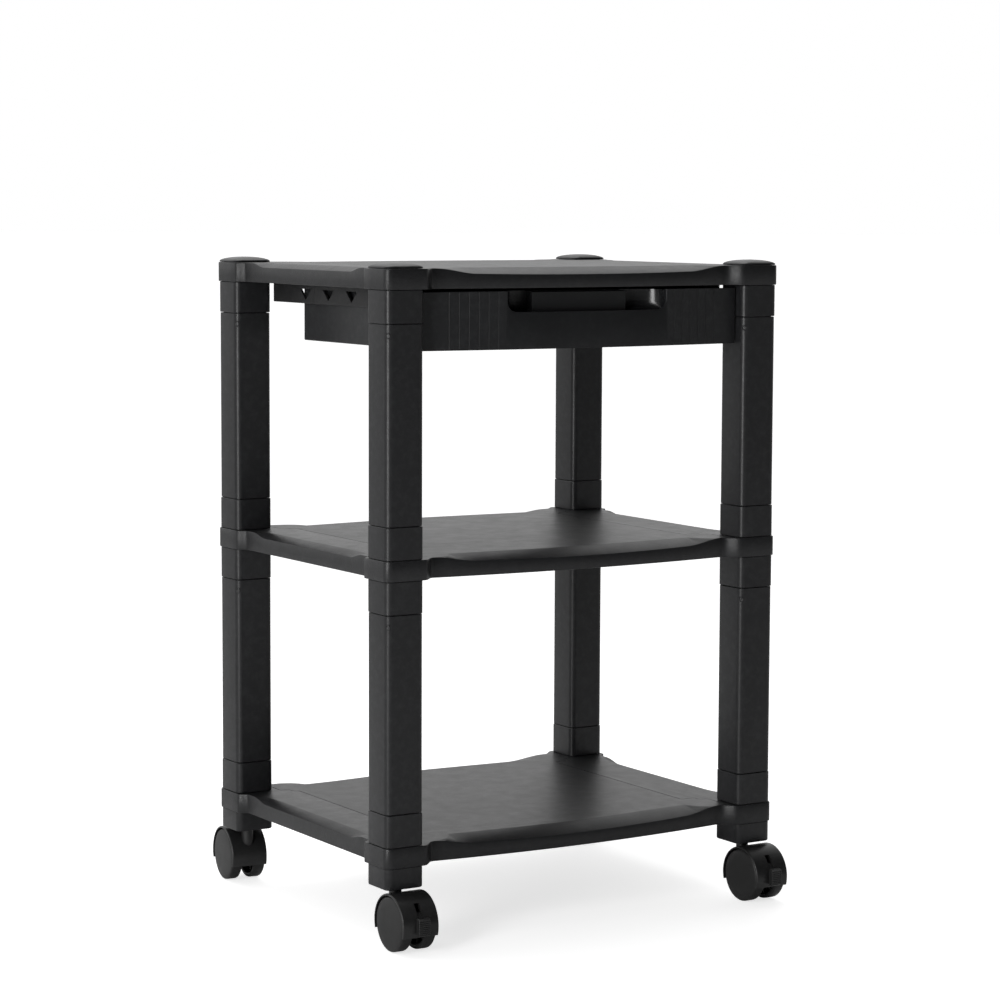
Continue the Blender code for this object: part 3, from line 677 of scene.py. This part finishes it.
def build_posts():
    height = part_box("lower_leg_front_left")[1].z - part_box("lower_leg_front_left")[0].z
    leg = leg_mesh(height)
    above = connector_mesh()
    below = above.copy()
    below.transform(Matrix.Rotation(math.pi, 4, "X"))
    cap = cap_mesh()
    foot = foot_mesh()
    for corner, (sx, sy) in CORNERS.items():
        x, y = sx * POST_X, MID_Y + sy * POST_Y
        for tier, level, ring in zip(("lower", "upper"), LEVELS, LEVELS[1:]):
            node = f"{tier}_leg_{corner}"
            piece(f"{node}_form", leg, "post", "stand", [node], (x, y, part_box(node)[0].z))
            node = f"{tier}_leg_base_{corner}"
            seat = (x, y, level + RING_H + GAP)
            piece(f"{node}_form", above, "post", "stand", [node], seat)
            node = f"{tier}_leg_head_{corner}"
            piece(f"{node}_form", below, "post", "stand", [node], (x, y, ring - GAP))
        node = f"top_cap_{corner}"
        top = (x, y, LEVELS[2] + RING_H + GAP)
        piece(f"{node}_form", cap, "cap", "stand", [node], top, smooth=40)
        node = f"foot_{corner}"
        piece(f"{node}_form", foot, "post", "stand", [node], (x, y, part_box(node)[0].z))


# ---- drawer ---------------------------------------------------------------------------------------
GROOVES = [0.0964 + 0.00978 * i for i in range(6)]
GROOVE_HALF = 0.00045
GROOVE_DEPTH = 0.00028


def drawer_front_y(x):
    return 0.1680 - 0.0135 * (x / FRONT_HALF) ** 2


def bend(mesh):
    """Depth behind the front becomes a place behind the bowed face."""
    for v in mesh.vertices:
        v.co.y -= drawer_front_y(v.co.x)
    return mesh


def front_panel():
    """The front as a flat plate, depth along Y, with its vertical grooves."""
    thick = 0.0030
    edge = 0.0007
    marks = [-FRONT_HALF + edge, FRONT_HALF - edge]
    marks += [s * m for s in (-1, 1) for g in GROOVES for m in (g - GROOVE_HALF, g, g + GROOVE_HALF)]
    fill = [-0.17 + 0.01 * i for i in range(35)]
    marks += [x for x in fill if all(abs(x - m) > 0.002 for m in marks)]
    marks.sort()
    face = []
    for x in marks:
        depth = GROOVE_DEPTH if any(abs(abs(x) - g) < 1e-6 for g in GROOVES) else 0.0
        face.append((x, depth))
    rear = [(FRONT_HALF, edge), (FRONT_HALF, thick)] + [(x, thick) for x in reversed(marks)]
    rear += [(-FRONT_HALF, thick), (-FRONT_HALF, edge)]
    outline = face + rear
    loops = []
    for inset, z in ((0.0005, DRAWER_BOTTOM), (0.0, DRAWER_BOTTOM + 0.0005),
                     (0.0, DRAWER_TOP - 0.0005), (0.0005, DRAWER_TOP)):
        loops.append([(x * (1 - inset / FRONT_HALF), max(y, inset), z) for x, y in outline])
    return loft("front_panel", loops)


def opening_outline(grow):
    """Outline (x, z) of the finger opening, counter-clockwise seen from the front, open past the top."""
    radius = 0.0100 + grow
    half = GRIP_HALF + grow
    low = GRIP_BOTTOM - grow
    points = [(half, DRAWER_TOP + 0.003), (-half, DRAWER_TOP + 0.003)]
    flat = half - radius
    for side in (-1, 1):
        if side > 0:
            points += [(flat * (2 * i / 16 - 1), low) for i in range(1, 16)]
        for s in range(9):
            a = math.pi * (1 if side < 0 else 1.5) + math.pi / 2 * s / 8
            points.append((side * flat + radius * math.cos(a), low + radius + radius * math.sin(a)))
    return points


def opening_tool():
    """Cuts the opening with a rounded outer edge; listed from the back forwards."""
    loops = []
    for depth, grow in (
        (0.0050, 0.0), (0.0010, 0.0), (0.0005, 0.00015), (0.00015, 0.0005), (0.0, 0.0010), (-0.001, 0.0020),
    ):
        loops.append([(x, depth, z) for x, z in opening_outline(grow)])
    return loft("opening", loops)


def cavity_tool():
    """The scooped hollow behind the opening, its ends and floor swept up in one curve."""
    floor = GRIP_BOTTOM - 0.0014
    top = DRAWER_TOP + 0.004
    start = 0.0022
    deep = 0.0275
    end = 0.0300
    loops = []
    count = 40
    for i in range(count + 1):
        x = GRIP_HALF * math.sin(math.pi / 2 * (2 * i / count - 1))
        out = max(abs(x) - (GRIP_HALF - end), 0.0) / end
        back = start + 0.0006 + (deep - start - 0.0006) * math.sqrt(max(1 - out * out, 0.0))
        radius = min(0.0100, (back - start) * 0.8)
        loop = [(x, start, floor)]
        for s in range(9):
            a = math.pi / 2 * (s / 8 - 1)
            loop.append((x, back - radius + radius * math.cos(a), floor + radius + radius * math.sin(a)))
        loop += [(x, back, top), (x, start, top)]
        loops.append(loop)
    return loft("cavity", loops)


def drawer_front_mesh():
    low, high = GRIP_BOTTOM - 0.0030, DRAWER_TOP - 0.0004
    surround = [(0.0010, low), (0.0300, low), (0.0300, high), (0.0010, high)]
    body = slab("grip_body", surround, GRIP_HALF + 0.0030, 18)
    low, high, edge = GRIP_BOTTOM - 0.0020, DRAWER_TOP - 0.0010, 0.0008
    front, back = 0.0180, 0.0290
    face = [(front, low), (back, low), (back, high), (front + edge, high), (front, high - edge)]
    pad = slab("grip_pad", face, 0.0515, 11)
    mesh = carve(front_panel(), [
        ("UNION", body), ("DIFFERENCE", cavity_tool()), ("DIFFERENCE", opening_tool()), ("UNION", pad),
    ])
    return bend(mesh)


def bowed_block(half, near, far, low, high, count=24):
    """A block that follows the bow of the front; near and far are depths behind the face."""
    xs = [half * (2 * i / count - 1) for i in range(count + 1)]
    outline = [(x, near - drawer_front_y(x)) for x in xs]
    outline += [(x, far - drawer_front_y(x)) for x in reversed(xs)]
    return loft("block", [[(x, y, z) for x, y in outline] for z in (low, high)])


def tray_mesh():
    half = 0.1640
    low = DRAWER_BOTTOM + GAP
    high = LEVELS[0] + 0.5138
    lip = RAIL_BOTTOM + 0.0027
    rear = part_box("drawer")[1].y - MID_Y
    wall = 0.0024

    def outline(inset, z, corner=0.0030):
        w = half - inset
        xs = [w * (2 * i / 24 - 1) for i in range(25)]
        points = [(x, -drawer_front_y(x) + 0.0008 + inset, z) for x in xs]
        radius = max(corner - inset, 0.0006)
        for side in (1, -1):
            for s in range(5):
                a = math.pi / 2 * (s / 4 + (0 if side > 0 else 1))
                points.append((side * (w - radius) + radius * math.cos(a),
                               rear - inset - radius + radius * math.sin(a), z))
        return points

    shell = [
        outline(0.0006, low), outline(0.0, low + 0.0006), outline(0.0, high - 0.0004), outline(0.0004, high),
        outline(wall - 0.0004, high), outline(wall, high - 0.0004), outline(wall, low + wall + 0.0030),
        outline(wall + 0.0010, low + wall + 0.0010), outline(wall + 0.0030, low + wall),
    ]
    recess = bowed_block(GRIP_HALF + 0.0029, -0.0020, 0.0299, GRIP_BOTTOM - 0.0029, high + 0.0100)
    parts = [carve(loft("tray", shell), [("DIFFERENCE", recess)])]
    upstand = 0.1500
    upstand_low = (-upstand, rear - wall, high - 0.0010)
    upstand_high = (upstand, rear, LEVELS[2] - 0.0010)
    parts.append(soft_box("rear_upstand", upstand_low, upstand_high))
    for side in (-1, 1):
        xs = sorted((side * (half - 0.0010), side * 0.1674))
        parts.append(soft_box("lip", (xs[0], -0.1535, lip), (xs[1], rear - 0.004, lip + 0.0024), 0.0004))
    return join("tray", parts)


def build_drawer():
    front = drawer_front_mesh()
    tray = tray_mesh()
    mesh = join("drawer", [front, tray])
    mesh.materials.append(MAT["drawer"])
    mesh.materials.append(MAT["recess"])
    mesh.shade_smooth()
    mesh.set_sharp_from_angle(angle=math.radians(26))
    for face in mesh.polygons:
        c = face.center
        depth = c.y + drawer_front_y(c.x)
        inside = abs(c.x) < GRIP_HALF and 0.0035 < depth < 0.0285 and c.z > GRIP_BOTTOM - 0.0020
        face.material_index = 1 if inside and abs(c.x) > 0.0510 else 0
    piece("drawer_form", mesh, "drawer", "drawer", ["drawer"], (0.0, MID_Y, 0.0))


# ---- rails ----------------------------------------------------------------------------------------
WINDOWS = (-0.0677, -0.0226, 0.0226, 0.0677)
SCREWS = (-0.1120, -0.0390, 0.0390, 0.1120)


def window_tool():
    """Downward triangle with rounded corners, through the outer wall."""
    low = RAIL_BOTTOM + 0.0032
    high = RAIL_BOTTOM + 0.0138
    half = 0.0112
    corners = [(0.0, low), (half, high), (-half, high)]
    outline = []
    for i, corner in enumerate(corners):
        p = Vector(corner)
        before = (Vector(corners[i - 1]) - p).normalized()
        after = (Vector(corners[(i + 1) % 3]) - p).normalized()
        for t in (0.0, 0.33, 0.67, 1.0):
            q = p + before * 0.0011 * (1 - t) ** 2 + after * 0.0011 * t ** 2
            outline.append((q.x, q.y))
    return slab("window", outline, 0.0040)


def rail_mesh():
    """Left rail: ledge for the drawer's lip, outer wall and flange under the shelf."""
    top = LEVELS[2] - GAP
    half_length = (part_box("left_rail")[1].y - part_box("left_rail")[0].y) / 2
    x0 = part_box("left_rail")[0].x
    e = 0.0004
    t = 0.0022
    low = RAIL_BOTTOM
    profile = [
        (x0 + e, low), (x0 + 0.0052 - e, low), (x0 + 0.0052, low + e), (x0 + 0.0052, low + t - e),
        (x0 + 0.0052 - e, low + t), (x0 + t + 0.0006, low + t), (x0 + t, low + t + 0.0006),
        (x0 + t, top - t - 0.0008), (x0 + t + 0.0008, top - t), (x0 + 0.0180 - e, top - t),
        (x0 + 0.0180, top - t + e), (x0 + 0.0180, top - e), (x0 + 0.0180 - e, top), (x0 + e, top),
        (x0, top - e), (x0, low + e),
    ]
    blank = loft("rail", [[(x, y, z) for x, z in profile] for y in (half_length, -half_length)])
    steps = []
    for y in WINDOWS:
        steps.append(("DIFFERENCE", moved(window_tool(), Matrix.Translation((x0, y, 0.0)))))
    seam = box("seam", (x0 - 0.001, 0.0508, low - 0.001), (x0 + 0.0003, 0.0512, top + 0.001))
    steps.append(("DIFFERENCE", seam))
    return carve(blank, steps)


def screw_mesh():
    """Pan head with a cross recess, head down."""
    head = [(0.0, -0.0026), (0.0014, -0.00255), (0.0026, -0.0022), (0.0033, -0.0014), (0.0036, -0.0004),
            (0.0036, 0.0), (0.0016, 0.0), (0.0016, 0.0018), (0.0, 0.0018)]
    long, narrow, deep, shallow = 0.0017, 0.00035, -0.003, -0.0015
    slot = box("slot", (-long, -narrow, deep), (long, narrow, shallow))
    across = box("across", (-narrow, -long, deep), (narrow, long, shallow))
    return carve(lathe("screw", head, 32), [("DIFFERENCE", slot), ("DIFFERENCE", across)])


def build_rails():
    left = rail_mesh()
    right = left.copy()
    right.transform(Matrix.Rotation(math.pi, 4, "Z"))
    screw = screw_mesh()
    seat = LEVELS[2] - GAP - 0.0022
    for name, mesh, side in (("left", left, -1), ("right", right, 1)):
        piece(f"{name}_rail_form", mesh, "rail", "stand", [f"{name}_rail"], (0.0, MID_Y, 0.0))
        for i, y in enumerate(SCREWS):
            at = (side * 0.1600, MID_Y + y, seat)
            piece(f"rail_screw_{name}_{i}", screw, "screw", "stand", (), at, turn=0.4 + i)


# ---- casters --------------------------------------------------------------------------------------
def hood_shell(edge_r, count=44):
    """Curved cover over both wheels, swept round the axle."""
    edge = CASTER_HALF - 0.0001
    inner = HOOD_INNER_R
    round_r = 0.0013
    side = []
    for s in range(6):
        a = math.radians(90 * s / 5)
        side.append((edge - round_r + round_r * math.cos(a), edge_r - round_r + round_r * math.sin(a)))
    section = [(-edge + 0.0001, inner), (edge - 0.0001, inner), *side, *[(-x, r) for x, r in reversed(side)]]
    reach = math.pi / 2 + math.radians(17)
    loops = []
    for i in range(count + 1):
        a = -reach + 2 * reach * i / count
        loops.append([(x, -r * math.sin(a), r * math.cos(a)) for x, r in section])
    return loft("hood_shell", loops)


def arc(radius, start, end, count):
    points = []
    for i in range(count + 1):
        a = start + (end - start) * i / count
        points.append((-radius * math.sin(a), radius * math.cos(a)))
    return points


def hood_mesh(braked):
    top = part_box("caster_hood_front_left")[1].z - WHEEL_R
    outer = HOOD_R
    web = slab("web", arc(outer - 0.0008, -math.radians(104), math.radians(104), 40), 0.0050)
    hub = lathe("hub", [(0.0, -0.0060), (0.0068, -0.0060), (0.0068, 0.0060), (0.0, 0.0060)], 32, "X")
    boss = lathe("boss", [
        (0.0, 0.0102), (0.0022, 0.0104), (0.0040, 0.0114), (0.0052, 0.0133), (0.0058, 0.0165),
        (0.0058, top - 0.0005), (0.0053, top), (0.0, top),
    ], 36)
    boss = moved(boss, Matrix.Translation((0.0, TRAIL, 0.0)))
    bore = moved(lathe("bore", [(0.0, 0.0130), (0.0042, 0.0130), (0.0042, 0.040), (0.0, 0.040)], 36),
                 Matrix.Translation((0.0, TRAIL, 0.0)))
    axle = lathe("axle_bore", [(0.0, -0.01), (0.0028, -0.01), (0.0028, 0.01), (0.0, 0.01)], 24, "X")
    steps = [("UNION", web), ("UNION", hub), ("DIFFERENCE", axle), ("UNION", boss), ("DIFFERENCE", bore)]
    if braked:
        slot = [
            (-0.0300, -0.0068), (-0.0060, -0.0055), (-0.0060, 0.0080), (-0.0140, 0.0212), (-0.0300, 0.0212),
        ]
        steps.append(("DIFFERENCE", slab("slot", slot, 0.0028)))
    return carve(hood_shell(outer), steps)


def wheel_mesh():
    """Outer face at +X, hollow and ribbed on the inner side."""
    face = CASTER_HALF
    inner = 0.0064
    profile = [
        (0.0, face - 0.0046), (0.0028, face - 0.0046), (0.0028, inner), (0.0066, inner),
        (0.0070, inner + 0.0004),
        (0.0074, face - 0.0042), (0.0208, face - 0.0042), (0.0214, inner + 0.0004), (0.0218, inner),
        (0.0238, inner), (0.0245, inner + 0.0004), (0.0249, inner + 0.0012), (WHEEL_R, inner + 0.0022),
        (WHEEL_R, face - 0.0026), (0.0249, face - 0.0019), (0.0246, face - 0.0014), (0.0241, face - 0.0010),
        (0.0234, face - 0.0007), (0.0225, face - 0.0005), (0.0160, face - 0.0002), (0.0080, face - 0.0001),
        (0.0, face),
    ]
    parts = [lathe("wheel", profile, 72, "X")]
    count = 10
    for i in range(count):
        rib = box("rib", (inner + 0.0045, -0.0005, 0.0068), (face - 0.0040, 0.0005, 0.0216))
        parts.append(moved(rib, Matrix.Rotation(2 * math.pi * i / count, 4, "X")))
    return join("wheel", parts)


def pedal_mesh(pivot):
    """Ribbed tab and its arm, about the brake's pivot; pivot is its place from the axle."""
    front, back = -0.0348, -0.0290
    rows = 8
    low, high = -0.0054, 0.0102
    pitch = (high - low - 0.0016) / rows
    face = [(front + 0.0014, high), (front + 0.0004, high - 0.0008)]
    for i in range(rows):
        z = high - 0.0008 - pitch * i
        face += [(front, z - pitch * 0.15), (front, z - pitch * 0.50), (front + 0.00065, z - pitch * 0.62),
                 (front + 0.00065, z - pitch * 0.92)]
    face += [(front + 0.0003, low + 0.0006), (front + 0.0010, low)]
    outline = [(back, low + 0.0002), (back, high - 0.0006), (back - 0.0006, high)] + face
    loops = []
    half = 0.0058
    for x, inset in ((-half, 0.0004), (-half + 0.0004, 0.0), (half - 0.0004, 0.0), (half, 0.0004)):
        mid_y, mid_z = (front + back) / 2, (low + high) / 2
        shrink_y, shrink_z = 1 - inset / 0.0024, 1 - inset / 0.0075
        loops.append([
            (x, mid_y + (y - mid_y) * shrink_y, mid_z + (z - mid_z) * shrink_z) for y, z in outline
        ])
    tab = loft("tab", loops)
    arm = slab("arm", [
        (back - 0.0010, -0.0030), (-0.0240, -0.0036), (-0.0090, -0.0020), (-0.0085, 0.0040),
        (-0.0150, 0.0120),
        (-0.0200, 0.0140), (-0.0230, 0.0128), (-0.0262, 0.0088), (back - 0.0010, 0.0080),
    ], 0.0023)
    mesh = carve(tab, [("UNION", arm)])
    return moved(mesh, Matrix.Translation((0.0, -pivot[0], -pivot[1])))


def stem_mesh(corner):
    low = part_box(f"caster_stem_{corner}")[0].z - WHEEL_R
    profile = [
        (0.0, low), (0.0036, low), (0.0039, low + 0.0004), (0.0039, 0.0278), (0.0050, 0.0280),
        (0.0056, 0.0284), (0.0056, 0.0292), (0.0050, 0.0296), (0.0050, 0.0560), (0.0046, 0.0566),
        (0.0036, 0.0585), (0.0, 0.0585),
    ]
    return lathe("stem", [(r, z + WHEEL_R) for r, z in profile], 32)


def build_casters():
    plain, braked = hood_mesh(False), hood_mesh(True)
    wheel = wheel_mesh()
    stem = stem_mesh("front_left")
    end = 0.0132
    rod = [(0.0, -end), (0.0023, -end), (0.0025, -0.0130), (0.0025, 0.0130), (0.0023, end), (0.0, end)]
    axle = lathe("axle", rod, 24, "X")
    for corner in CORNERS:
        post = SWIVELS[corner]["pos_m"]
        spin = SPINS[corner]
        turn = math.atan2(spin["axis"][1], spin["axis"][0])
        at = tuple(spin["pos_m"])
        body = f"caster_{corner}"
        piece(f"caster_stem_{corner}_form", stem, "stem", "stand", [f"caster_stem_{corner}"],
              (post[0], post[1], 0.0))
        hood = braked if corner in BRAKES else plain
        node = f"caster_hood_{corner}"
        piece(f"{body}_hood_form", hood, "hood", body, [node], at, turn, 28)
        piece(f"{body}_axle_form", axle, "axle", body, [f"caster_axle_{corner}"], at, turn)
        for side, extra in (("right", 0.0), ("left", math.pi)):
            node = f"caster_wheel_{side}_{corner}"
            wheel_body = f"wheel_{side}_{corner}"
            piece(f"{node}_form", wheel, "wheel", wheel_body, [node], at, turn + extra)
        if corner in BRAKES:
            pivot = BRAKES[corner]["pos_m"]
            reach = -math.hypot(pivot[0] - at[0], pivot[1] - at[1])
            mesh = pedal_mesh((reach, pivot[2] - at[2]))
            piece(f"brake_pedal_{corner}_form", mesh, "hood", f"pedal_{corner}",
                  [f"brake_pedal_{corner}"], tuple(pivot), turn, 28)


# ---- stage, light and camera ----------------------------------------------------------------------
ROOM_DARK = 0.04               # brightness of the room behind the camera
ROOM_BRIGHT = 0.90             # and of the wall behind the object
BACKDROP = 1.0
FLOOR_R = 60.0
FLOOR_GLOW = 0.70              # lifts the floor towards white for the camera only


def build_stage():
    n = Nodes("studio_floor")
    place = n.add("ShaderNodeTexCoord").outputs["Object"]
    n.link(n.mix(n.noise(place, 3.0), (0.86, 0.86, 0.86), (0.90, 0.90, 0.90)), n.shader.inputs["Base Color"])
    n.shader.inputs["Roughness"].default_value = 0.9
    n.shader.inputs["Emission Color"].default_value = (1.0, 1.0, 1.0, 1.0)
    seen = n.add("ShaderNodeLightPath").outputs["Is Camera Ray"]
    n.link(n.math("MULTIPLY", seen, FLOOR_GLOW), n.shader.inputs["Emission Strength"])
    disc = [(0.0, -0.02), (FLOOR_R, -0.02), (FLOOR_R, 0.0), (0.0, 0.0)]
    floor = bpy.data.objects.new("studio_floor", lathe("floor", disc, 96))
    floor.data.materials.append(n.mat)
    bpy.context.scene.collection.objects.link(floor)
    floor.location = (0.0, 0.0, -0.0004)


def area_light(name, at, target, size, power, colour=(1.0, 1.0, 1.0)):
    data = bpy.data.lights.new(name, "AREA")
    data.shape = "RECTANGLE"
    data.size, data.size_y = size
    data.energy = power
    data.color = colour
    light = bpy.data.objects.new(name, data)
    bpy.context.scene.collection.objects.link(light)
    light.location = at
    light.rotation_euler = (Vector(target) - Vector(at)).to_track_quat("-Z", "Y").to_euler()
    return light


def build_light():
    world = bpy.data.worlds.new("studio")
    bpy.context.scene.world = world
    world.use_nodes = True
    tree = world.node_tree
    background = tree.nodes["Background"]
    place = tree.nodes.new("ShaderNodeTexCoord")
    split = tree.nodes.new("ShaderNodeSeparateXYZ")
    tree.links.new(place.outputs["Generated"], split.inputs[0])
    room = tree.nodes.new("ShaderNodeMapRange")
    room.inputs["From Min"].default_value = -0.35
    room.inputs["From Max"].default_value = 0.6
    room.inputs["To Min"].default_value = ROOM_DARK
    room.inputs["To Max"].default_value = ROOM_BRIGHT
    tree.links.new(split.outputs["Y"], room.inputs["Value"])
    seen = tree.nodes.new("ShaderNodeLightPath")
    mix = tree.nodes.new("ShaderNodeMix")
    mix.inputs["B"].default_value = BACKDROP
    tree.links.new(seen.outputs["Is Camera Ray"], mix.inputs["Factor"])
    tree.links.new(room.outputs["Result"], mix.inputs["A"])
    tree.links.new(mix.outputs["Result"], background.inputs["Color"])
    background.inputs["Strength"].default_value = 1.0
    area_light("key_left", (-2.5, -1.3, 0.9), (0.0, 0.0, 0.35), (0.8, 1.8), 42.0)
    area_light("top_soft", (0.2, 0.9, 2.8), (0.0, 0.0, 0.4), (2.0, 2.0), 22.0)
    bpy.context.scene.view_settings.view_transform = "Standard"


def build_camera():
    """Eye-level view from the front left."""
    yaw, pitch, roll = math.radians(31.678), math.radians(5.698), math.radians(0.225)
    forward = Vector((math.sin(yaw) * math.cos(pitch), math.cos(yaw) * math.cos(pitch), -math.sin(pitch)))
    level = Vector((math.cos(yaw), -math.sin(yaw), 0.0))
    upright = level.cross(forward)
    right = math.cos(roll) * level + math.sin(roll) * upright
    up = math.cos(roll) * upright - math.sin(roll) * level
    data = bpy.data.cameras.new("camera")
    data.sensor_width = 36.0
    data.lens = 107.8
    camera = bpy.data.objects.new("camera", data)
    bpy.context.scene.collection.objects.link(camera)
    rotation = Matrix((right, up, -forward)).transposed().to_4x4()
    camera.matrix_world = Matrix.Translation((-1.5145, -2.4655 + MID_Y, 0.6720)) @ rotation
    bpy.context.scene.camera = camera


build_shelves()
build_posts()
build_drawer()
build_rails()
build_casters()
build_stage()
build_light()
build_camera()
